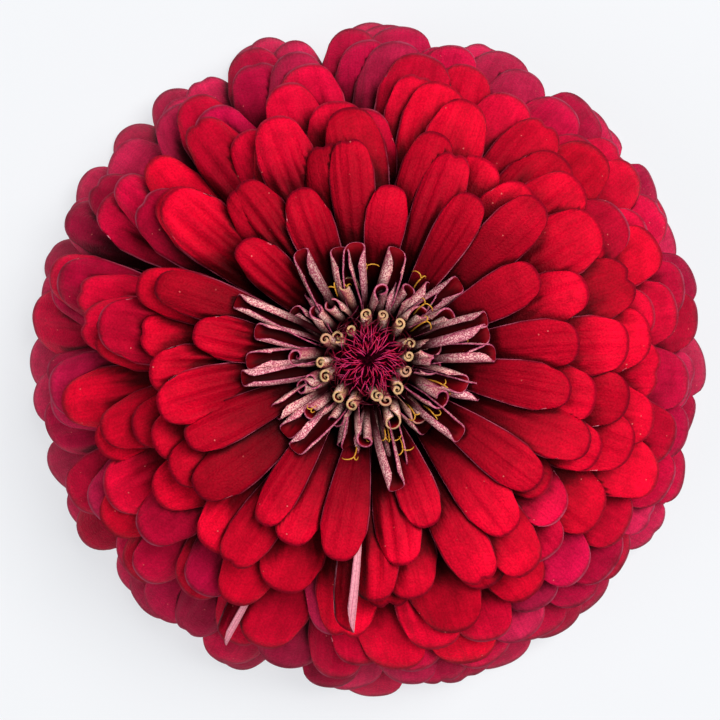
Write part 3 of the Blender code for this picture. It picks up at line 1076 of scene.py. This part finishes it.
# %% Lay the young rays
def young_ray(ring, base, petal, draw):
    """One rolled ray that starts at this base, with a scroll of its own."""
    azimuth, length, width = petal
    claw, tip, other_claw, other_tip = (draw.uniform(*turn) for turn in ring["scroll"])
    twist, age = draw.uniform(*ring["twist"]), draw.uniform(*ring["age"])
    edges = (claw, tip), (other_claw, other_tip)
    roll = edges if draw.random() < 0.5 else edges[::-1]
    fall = ring["fall"] - draw.uniform(*ring["droop"])
    length *= draw.uniform(*ring["stretch"])
    return lay(
        YOUNG_SHEET,
        midline(base, math.radians(ring["rise"]), math.radians(fall), length),
        azimuth + draw.uniform(-AZIMUTH_SPREAD, AZIMUTH_SPREAD),
        length,
        width * draw.uniform(*ring["wider"]),
        roll=roll,
        sway=draw.uniform(-1, 1) * ring["sway"],
        twist=(0, twist),
        tighten=ring["tighten"],
        tip=draw.uniform(*ring["tip"]),
        ring=min(1, max(0, age)),
        grain=draw.random(),
    )


def lay_young_ring(name, order):
    """One ring of young rays, as one piece."""
    ring = YOUNG_RINGS[name]
    base = dome_point(math.radians(ring["place"]), YOUNG_SEAT)
    seed = YOUNG_SEED + order
    first = order * GOLDEN_ANGLE
    plan = petal_plan(ring["count"], ring["length"], ring["width"], YOUNG_REACH_SPREAD, first, seed)
    draw = random.Random(seed + 50)
    return join(f"{name}_rolled", [young_ray(ring, base, petal, draw) for petal in plan])


young = [lay_young_ring(name, order) for order, name in enumerate(YOUNG_RINGS)]
measure_open_sky([*whorls, *young], [*whorls, *young])
measure_open_sky(young, [*whorls, *young], "open_sky_back", -1)
for ring, name in zip(young, YOUNG_RINGS):
    finish_sheet(ring, YOUNG_RINGS[name]["thickness"], YOUNG_FINISH, "young_ray", name)
for k, whorl in enumerate(whorls):
    finish_sheet(whorl, PETAL_THICKNESS, PETAL_FINISH, "ray_petal", f"ray_whorl_{k + 1:02d}")
print("laid:", [(ring.name, len(ring.data.polygons)) for ring in young])

# %% [markdown]
# ## The tuft of chaff threads
#
# Every floret of the disc has a chaff scale with a fringed, crimson tip. Together they make a tuft that
# closes over the middle of the head. Each thread is a thin tapered rod that rises, bows outwards, and
# bends in over the dark middle. Particle hair would be quicker to make, but it has no surface of its own
# to export. So one rod is modelled by extruding a small ring, and then copied and bent.

# %% A straight thread
THREAD_SIDES = 5
THREAD_STEPS = 8


def model_thread():
    """A rod from Z = 0 to 1 with a radius of one unit, closed at both ends."""
    clear_selection()
    bpy.ops.mesh.primitive_circle_add(vertices=THREAD_SIDES, radius=1, fill_type="NGON", location=(0, 0, 0))
    thread = new_piece("thread")
    bpy.ops.object.mode_set(mode="EDIT")
    bpy.ops.mesh.select_all(action="SELECT")
    for _ in range(THREAD_STEPS):
        bpy.ops.mesh.extrude_region_move(TRANSFORM_OT_translate={"value": (0, 0, 1 / THREAD_STEPS)})
    bpy.ops.mesh.select_all(action="SELECT")
    bpy.ops.mesh.normals_make_consistent(inside=False)
    bpy.ops.object.mode_set(mode="OBJECT")
    thread.data.shade_smooth()
    return thread


THREAD = model_thread()
print("a thread has", len(THREAD.data.polygons), "faces")


# %% Bending a thread
# Any direction that no thread follows, so that a thread's own sides can be found from it
ASIDE = (0.31, 0.17, 0.93)


def bend_thread(points, radius, taper=0.25, grain=0.5):
    """A copy of the thread along a smooth curve through four control points."""
    copy = copy_of(THREAD)
    flat = read_points(copy.data)
    t = flat[:, 2:3]
    a, b, c, d = (np.array(point, float) for point in points)
    place = a * (1 - t) ** 3 + 3 * b * t * (1 - t) ** 2 + 3 * c * t**2 * (1 - t) + d * t**3
    forward = unit((b - a) * (1 - t) ** 2 + 2 * (c - b) * t * (1 - t) + (d - c) * t**2)
    side = unit(np.cross(forward, ASIDE))
    up = np.cross(side, forward)
    thick = radius * (1 - (1 - taper) * t**1.5)
    set_points(copy.data, place + (side * flat[:, :1] + up * flat[:, 1:2]) * thick)
    store(copy.data, "grain", grain)
    store(copy.data, "along", t[:, 0])
    return copy


# %% Finish of the tuft
CHAFF_FOOT_SHADE = (0.014, 0.0002, 0.002)
CHAFF_CRIMSON = (0.56, 0.004, 0.050)
CHAFF_MAGENTA = (0.74, 0.035, 0.20)
# The chaff mat's colours are nearly black: painted shade deep under the threads
MAT_SHADE_BLACK = (0.004, 0.0, 0.001)
MAT_SHADE_RED = (0.030, 0.0003, 0.005)
TUFT_RADIUS = 7.0 * MM
CHAFF_GRAIN = 2200


def build_chaff_finish():
    """Crimson threads with painted shade at the foot and on the outer layers, magenta towards the tip, with a
    wet gloss.
    """
    made, tree = new_material("chaff threads", roughness=0.38, specular=0.3)
    along, grain = attribute(tree, "along"), attribute(tree, "grain")
    # Painted shade at the foot of the threads, deep inside the tuft
    body = mix(tree, ramp(tree, along, ((0.35, 0.0), (0.7, 1.0))), CHAFF_FOOT_SHADE, CHAFF_CRIMSON)
    pink = times(tree, ramp(tree, along, ((0.6, 0.0), (1.0, 1.0))), grain)
    body = mix(tree, pink, body, CHAFF_MAGENTA)
    # Painted shade: threads far from the axis darken, where the tuft meets the buds
    squares = [times(tree, axis, axis) for axis in split(tree, object_place(tree))[:2]]
    from_axis = times(tree, maths(tree, "SQRT", maths(tree, "ADD", *squares)), 1 / TUFT_RADIUS)
    body = toned(tree, body, from_axis, ((0.46, 1.0), (0.84, 0.14)))
    noise = object_noise(tree, CHAFF_GRAIN)
    body = toned(tree, body, noise, ((0.35, 0.6), (0.65, 1.2)), 0.6)
    return dress(made, body, noise, 0.04 * MM)


def build_mound_finish():
    """The mat of chaff under the threads, without gloss: its nearly black crimson is painted shade deep under
    the threads.
    """
    made, tree = new_material("chaff mat", roughness=0.95, specular=0.0)
    velvet = place_group(tree, VELVET, Fineness=0.8)
    body = mix(tree, ramp(tree, velvet["Pile"], ((0.35, 0.0), (0.65, 1.0))), MAT_SHADE_BLACK, MAT_SHADE_RED)
    return dress(made, body, velvet["Pile"], 0.2 * MM)


# %% The tuft
# Layer by layer from the outside: count, foot radius, bow radius, tip radius and tip height in mm
THREAD_LAYERS = ((66, 4.6, 6.9, 6.6, 45.6), (62, 4.2, 6.5, 5.2, 46.4), (56, 3.4, 5.6, 3.8, 47.0),
                 (48, 2.6, 4.4, 2.4, 47.2), (34, 1.8, 3.0, 1.2, 46.6))
THREAD_RADIUS = 0.105 * MM
THREAD_FOOT = 40.5
# How far threads differ: their gaps, the turn from foot to tip in radians, and the tip's height in mm
THREAD_GAP, THREAD_TURN, THREAD_RISE = (-0.45, 0.45), (-0.7, 0.7), (-1.3, 0.5)
# How far out a thread is at its two bends and at its tip, as shares of its layer's radii
LOWER_BOW, UPPER_BOW, TIP_BOW = (1.0, 1.2), (0.8, 1.0), (0.5, 1.2)
THREAD_THICKNESS, THREAD_TAPER = (0.8, 1.3), 0.4
TUFT_SEED = 7
MOUND = (6.0 * MM, 6.0 * MM, 4.0 * MM)
MOUND_HEIGHT = 40.2 * MM


def polar(azimuth, radius, height):
    """A place in metres from an azimuth, and a radius and height in mm."""
    return (radius * math.cos(azimuth) * MM, radius * math.sin(azimuth) * MM, height * MM)


def tuft_threads(draw):
    """The threads of every layer, each rising, bowing outwards and bending in at its tip."""
    threads = []
    for count, foot, bow, tip, height in THREAD_LAYERS:
        for i in range(count):
            azimuth = (i + draw.uniform(*THREAD_GAP)) * math.tau / count + foot
            bend = draw.uniform(*THREAD_TURN)
            rise = height + draw.uniform(*THREAD_RISE)
            points = (
                polar(azimuth, foot, THREAD_FOOT),
                polar(azimuth + bend * 0.2, bow * draw.uniform(*LOWER_BOW), THREAD_FOOT + 3.0),
                polar(azimuth + bend * 0.6, bow * draw.uniform(*UPPER_BOW), rise + 0.8),
                polar(azimuth + bend, tip * draw.uniform(*TIP_BOW), rise - 0.2),
            )
            radius = THREAD_RADIUS * draw.uniform(*THREAD_THICKNESS)
            threads.append(bend_thread(points, radius, THREAD_TAPER, draw.random()))
    return threads


def build_tuft():
    """All the threads, over a mound of chaff that is painted nearly black as shade."""
    chaff = build_chaff_finish()
    threads = tuft_threads(random.Random(TUFT_SEED))
    clear_selection()
    bpy.ops.mesh.primitive_uv_sphere_add(segments=32, ring_count=16, radius=1, location=(0, 0, MOUND_HEIGHT))
    mound = new_piece("mound")
    bpy.ops.transform.resize(value=MOUND)
    set_place(mound)
    for name in ("grain", "along"):
        store(mound.data, name, 0.0)
    mound.data.shade_smooth()
    for thread in threads:
        thread.data.materials.append(chaff)
    mound.data.materials.append(build_mound_finish())
    return ride_as(join("tuft_threads", [*threads, mound]), "chaff", "chaff_tuft")


tuft = build_tuft()
print("tuft faces:", len(tuft.data.polygons))

# %% [markdown]
# ## The yellow styles
#
# Ray florets are female. The forked, golden style of each one pokes out of the claw of its petal, and
# its two arms curl back. A style is three bent threads: a short stem and two arms. It could be one forked
# mesh, but three copies of the rod that is there already look the same at 0.2 mm.

# %% The styles
STYLE_GOLD = (0.66, 0.31, 0.03)
STYLE_TIP = (0.60, 0.20, 0.02)
STYLE_COUNT = 19
STYLE_RADIUS = 0.115 * MM
STYLE_GRAIN = 3000
STYLE_SIDE = math.radians(-15)
STYLE_SPREAD = 0.95
STYLE_SEED = 23
# How far from the axis and how high its fork stands, in mm
STYLE_REACH, STYLE_HEIGHT = (9.6, 13.8), (46.0, 47.6)
# The lower points of its stem: turn in radians, then how far in and how far down from the fork in mm
STYLE_STEM = ((0, 2.5, 4.5), (0, 1.6, 2.5), (0.03, 1.2, 0.6))
# Its arms: how far they reach out in mm, how far they part in radians, and how their tips curl back
ARM_REACH, ARM_PARTING, ARM_RISE = (0.3, 0.9), (0.01, 0.07), (-0.2, 0.5)
CURL_TURN, CURL_REACH, CURL_DROP = (1.2, 2.6), (-0.2, 0.9), 0.4


def build_style_finish():
    """Golden, slightly glossy, with a fine grain and browner tips."""
    made, tree = new_material("style", roughness=0.4, specular=0.3)
    noise = object_noise(tree, STYLE_GRAIN)
    tip = times(tree, ramp(tree, attribute(tree, "along"), ((0.5, 0.0), (1.0, 1.0))), noise)
    return dress(made, mix(tree, tip, STYLE_GOLD, STYLE_TIP), noise, 0.04 * MM)


def build_styles():
    """A style between the young rays here and there, most of them on the right of the head."""
    draw = random.Random(STYLE_SEED)
    threads = []
    for _ in range(STYLE_COUNT):
        azimuth = STYLE_SIDE + draw.gauss(0, STYLE_SPREAD)
        radius, height = draw.uniform(*STYLE_REACH), draw.uniform(*STYLE_HEIGHT)
        fork = polar(azimuth, radius, height)
        stem = [polar(azimuth + turn, radius - near, height - down) for turn, near, down in STYLE_STEM]
        grain = draw.random()
        threads.append(bend_thread((*stem, fork), STYLE_RADIUS, 0.9, grain))
        for hand in (-1, 1):
            reach, turn = draw.uniform(*ARM_REACH), hand * draw.uniform(*ARM_PARTING)
            bow = polar(azimuth + turn * 1.6, radius + reach * 1.3, height + draw.uniform(*ARM_RISE))
            curl = azimuth + turn * draw.uniform(*CURL_TURN)
            tip = polar(curl, radius + reach * draw.uniform(*CURL_REACH), height - CURL_DROP)
            arm = (fork, polar(azimuth + turn * 0.3, radius + reach, height + 0.6), bow, tip)
            threads.append(bend_thread(arm, STYLE_RADIUS * 0.85, 0.7, grain))
    styles = join("golden_styles", threads)
    styles.data.materials.append(build_style_finish())
    return ride_as(styles, "young_ray")


styles = build_styles()
print("styles:", STYLE_COUNT, "faces:", len(styles.data.polygons))

# %% [markdown]
# ## Bracts, stalk and receptacle
#
# Under the petals sit three rows of green bracts, each with a dark, fringed edge. They are bent from a
# flat scale in the same way as the petals, along the curve of the bowl that they hug. The receptacle is
# hidden by all the rest, so it keeps the shape of its solid and only gets a finish.

# %% Finish of the bracts
BRACT_GREEN = (0.115, 0.205, 0.040)
BRACT_LIGHT = (0.260, 0.340, 0.110)
BRACT_EDGE = (0.030, 0.012, 0.008)


def build_bract_finish(name, fringe):
    """Green with fine veins and a soft mottle. fringe is how dark its edge is."""
    made, tree = new_material(name, roughness=0.55, specular=0.3)
    veins = place_group(tree, VEINS, Count=22.0, Grain=attribute(tree, "grain"))
    velvet = place_group(tree, VELVET, Fineness=0.8)
    along, side = petal_axes(tree)
    body = mix(tree, ramp(tree, veins["Mask"], ((0.38, 0.0), (0.62, 1.0))), BRACT_GREEN, BRACT_LIGHT)
    body = mix(tree, ramp(tree, along, ((0.0, 0.7), (0.6, 0.0))), body, BRACT_LIGHT)
    body = toned(tree, body, velvet["Mottle"], ((0.30, 0.70), (0.68, 1.15)), 0.7)
    edge = maths(tree, "MAXIMUM", ramp(tree, side, ((0.80, 0.0), (0.95, 1.0))),
                 ramp(tree, along, ((0.84, 0.0), (0.95, 1.0))))
    edge = times(tree, edge, ramp(tree, velvet["Pile"], ((0.30, 0.5), (0.60, 1.0))))
    body = mix(tree, times(tree, edge, fringe), body, BRACT_EDGE)
    height = maths(tree, "ADD", times(tree, veins["Mask"], 1.5), velvet["Pile"])
    return dress(made, body, height, 0.12 * MM)


BRACT_FINISH = (build_bract_finish("bract inside", 0.4), build_bract_finish("bract outside", 1.0),
                build_bract_finish("bract edge", 1.0))
print("bract finishes:", [material.name for material in BRACT_FINISH])

# %% The path of a bract
BOWL_RIM_Z = 16.5 * MM
BOWL_NECK_RADIUS = 2.9 * MM
BOWL_FLARE = 5.5 * MM
BOWL_DEPTH = 11.0 * MM
SEAT_GAP = 0.35 * MM
# Where each row starts and ends, in degrees round the bowl from its neck
BRACT_ROWS = {"inner": (32, 87), "middle": (16, 66), "outer": (2, 45)}
BRACT_LAYER = 1.1 * MM
BRACT_OVERRUN = 0.05


def bowl_path(start, end):
    """A function from a distance along a bract to (radius, height), and the bract's length."""
    degrees = np.linspace(start, end + (end - start) * BRACT_OVERRUN, PATH_STEPS)
    angle = np.radians(degrees)
    starts = sorted(first for first, _ in BRACT_ROWS.values())
    rows = np.interp(degrees, starts, range(len(starts))) - np.interp(start, starts, range(len(starts)))
    offset = SEAT_GAP + BRACT_LAYER * rows
    across, down = np.sin(angle) / BOWL_FLARE, -np.cos(angle) / BOWL_DEPTH
    size = np.hypot(across, down)
    radius = BOWL_NECK_RADIUS + BOWL_FLARE * np.sin(angle) + offset * across / size
    height = BOWL_RIM_Z - BOWL_DEPTH * np.cos(angle) + offset * down / size
    marks = np.concatenate([[0], np.cumsum(np.hypot(np.diff(radius), np.diff(height)))])

    def at(distance):
        return np.interp(distance, marks, radius), np.interp(distance, marks, height)

    return at, marks[-1] / (1 + BRACT_OVERRUN), radius[-1]


for name, ends in BRACT_ROWS.items():
    print(name, "bracts are", round(bowl_path(*ends)[1] / MM, 1), "mm long")

# %% Lay the bracts
BRACTS_IN_ROW = 8
BRACT_THICKNESS = 0.45 * MM
BRACT_OUTLINE = ((0, 0.40), (0.3, 0.66), (0.6, 0.92), (0.85, 1.0), (1.0, 0.74))
BRACT_SECTOR_SHARE = 0.88
BRACT_MESH = (16, 12)
BRACT_SEED = 300
BRACT_LENGTHS, BRACT_WIDTHS = (0.97, 1.0), (0.96, 1.0)
BRACT_SHEET = model_sheet("sheet_bract", BRACT_OUTLINE, *BRACT_MESH)


def lay_bract_row(row, turn):
    """Eight bracts side by side on the bowl."""
    start, end = BRACT_ROWS[row]
    path, length, rim = bowl_path(start, end)
    width = BRACT_SECTOR_SHARE * math.tau / BRACTS_IN_ROW * rim
    hug = math.degrees(BRACT_SECTOR_SHARE * math.pi / BRACTS_IN_ROW)
    draw = random.Random(BRACT_SEED + turn)
    bracts = []
    for i in range(BRACTS_IN_ROW):
        azimuth = (i + turn / 2) * math.tau / BRACTS_IN_ROW
        bracts.append(
            lay(
                BRACT_SHEET,
                path,
                azimuth,
                length * draw.uniform(*BRACT_LENGTHS),
                width * draw.uniform(*BRACT_WIDTHS),
                roll=((hug, hug * 0.9), (hug, hug * 0.9)),
                pleat=0.05 * MM,
                tip=0.8,
                grain=draw.random(),
            )
        )
    piece = join(f"bracts_{row}", bracts)
    names = [f"bract_{row}_{i + 1}" for i in range(BRACTS_IN_ROW)]
    return finish_sheet(piece, BRACT_THICKNESS, BRACT_FINISH, "bract", *names)


bract_rows = [lay_bract_row(row, turn) for turn, row in enumerate(BRACT_ROWS)]
print("bract rows:", [(row.name, len(row.data.polygons)) for row in bract_rows])

# %% [markdown]
# ## The cut stalk
#
# The stalk of a zinnia is ribbed, bristly and nearly hollow, and it widens under the head. It is a
# cylinder with an inset, hollowed end, whose skin is moved in between the ribs. The ribs could be a bump,
# but they show in the outline of the cut, so they are real.

# %% Green finishes
STALK_GREENS = ((0.10, 0.19, 0.04), (0.30, 0.38, 0.13))
RECEPTACLE_GREENS = ((0.16, 0.20, 0.06), (0.42, 0.46, 0.22))
STREAK = (1, 1, 0.15)


def build_green_finish(name, dark, light, scale):
    """A streaked green for the stalk and the receptacle."""
    made, tree = new_material(name, roughness=0.5, specular=0.3)
    velvet = place_group(tree, VELVET, Fineness=0.7)
    place = add_node(tree, "ShaderNodeMapping")
    place.inputs["Scale"].default_value = STREAK
    tree.links.new(object_place(tree), place.inputs["Vector"])
    streaks = object_noise(tree, scale, 4.0, place.outputs[0])
    body = mix(tree, ramp(tree, streaks, ((0.35, 0.0), (0.65, 1.0))), dark, light)
    body = toned(tree, body, velvet["Mottle"], ((0.30, 0.75), (0.68, 1.12)), 0.7)
    return dress(made, body, maths(tree, "ADD", streaks, velvet["Pile"]), 0.15 * MM)


STALK_FINISH = build_green_finish("stalk", *STALK_GREENS, 900)
RECEPTACLE_FINISH = build_green_finish("receptacle", *RECEPTACLE_GREENS, 500)
print("green finishes:", STALK_FINISH.name, RECEPTACLE_FINISH.name)

# %% The stalk
STALK_RADIUS = 2.6 * MM
STALK_TOP = 5.2 * MM
PITH_RADIUS = 1.1 * MM
PITH_DEPTH = 3.4 * MM
STALK_RIBS = 9
STALK_SIDES = 54
RIB_DEPTH = 0.035
SMOOTH_ANGLE = math.radians(50)
HAIR_COUNT = 110
HAIR_RADIUS = 0.035 * MM
HAIR_SEED = 5
# Where hairs stand up the stalk and how long they are, in mm, then how they lean, droop and taper
HAIR_HEIGHTS, HAIR_LENGTHS = (0.7, 4.6), (0.5, 0.9)
HAIR_LEAN, HAIR_DROOP, HAIR_TAPER = 0.02, 0.05, 0.3
HAIR_FOOT = 0.98
CUT_BEVEL = 0.25 * MM
STALK_STEPS = 6
STALK_SWELL = 0.12
SKIN_SHARE = 0.85


def model_stalk():
    """A cylinder with rings of points, a bevelled cut and a hollow pith."""
    clear_selection()
    middle = (0, 0, STALK_TOP / 2)
    bpy.ops.mesh.primitive_cylinder_add(
        vertices=STALK_SIDES, radius=STALK_RADIUS, depth=STALK_TOP, location=middle, end_fill_type="NGON"
    )
    stalk = new_piece("ribbed_stalk")
    set_place(stalk)
    bpy.ops.object.mode_set(mode="EDIT")
    for i in range(1, STALK_STEPS):
        bpy.ops.mesh.select_all(action="SELECT")
        bpy.ops.mesh.bisect(plane_co=(0, 0, STALK_TOP * i / STALK_STEPS), plane_no=(0, 0, 1))
    select_where(stalk, lambda co: co.z < 0.01 * MM)
    bpy.ops.mesh.select_mode(type="FACE")
    bpy.ops.mesh.inset(thickness=CUT_BEVEL)
    bpy.ops.mesh.inset(thickness=STALK_RADIUS - PITH_RADIUS - CUT_BEVEL)
    bpy.ops.mesh.extrude_region_move(TRANSFORM_OT_translate={"value": (0, 0, PITH_DEPTH)})
    bpy.ops.transform.resize(value=(0.8, 0.8, 1))
    bpy.ops.object.mode_set(mode="OBJECT")
    bpy.ops.object.shade_smooth_by_angle(angle=SMOOTH_ANGLE)
    return stalk


def press_ribs(stalk):
    """Moves the skin in between the ribs, and out towards the head."""
    for vertex in stalk.data.vertices:
        radius = math.hypot(vertex.co.x, vertex.co.y)
        if radius > STALK_RADIUS * SKIN_SHARE:
            swell_up = 1 + STALK_SWELL * (vertex.co.z / STALK_TOP) ** 3
            rib = 1 - RIB_DEPTH * (0.5 + 0.5 * math.cos(STALK_RIBS * math.atan2(vertex.co.y, vertex.co.x)))
            vertex.co.x *= swell_up * rib
            vertex.co.y *= swell_up * rib


def stalk_hairs(draw):
    """Short, stiff hairs all over the skin of the stalk."""
    skin = STALK_RADIUS / MM * (HAIR_FOOT - RIB_DEPTH)
    hairs = []
    for _ in range(HAIR_COUNT):
        azimuth, height = draw.uniform(0, math.tau), draw.uniform(*HAIR_HEIGHTS)
        out = draw.uniform(*HAIR_LENGTHS)
        points = [
            polar(azimuth + HAIR_LEAN * j, skin + out * j / 3, height - HAIR_DROOP * j * j) for j in range(4)
        ]
        hairs.append(bend_thread(points, HAIR_RADIUS, HAIR_TAPER))
    return hairs


def build_stalk():
    """A ribbed stalk with a hollow pith, and short hairs."""
    stalk = model_stalk()
    press_ribs(stalk)
    stalk = join("ribbed_stalk", [stalk, *stalk_hairs(random.Random(HAIR_SEED))])
    stalk.data.materials.append(STALK_FINISH)
    return ride_as(stalk, "stalk", "stalk")


stalk = build_stalk()
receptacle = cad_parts["receptacle"]
for material_slot in receptacle.material_slots:
    material_slot.material = RECEPTACLE_FINISH
print("stalk faces:", len(stalk.data.polygons), "receptacle slots:", len(receptacle.material_slots))

# %% [markdown]
# ## Clearing up
#
# The flat sheets and the straight rod have been copied wherever they are needed, so they go. Last, the
# number of meshes is printed.

# %% Clear the models away
for model in (RAY_SHEET, YOUNG_SHEET, BRACT_SHEET, THREAD):
    bpy.data.objects.remove(model)
print("finished pieces:", len(bpy.data.meshes), "meshes in all")
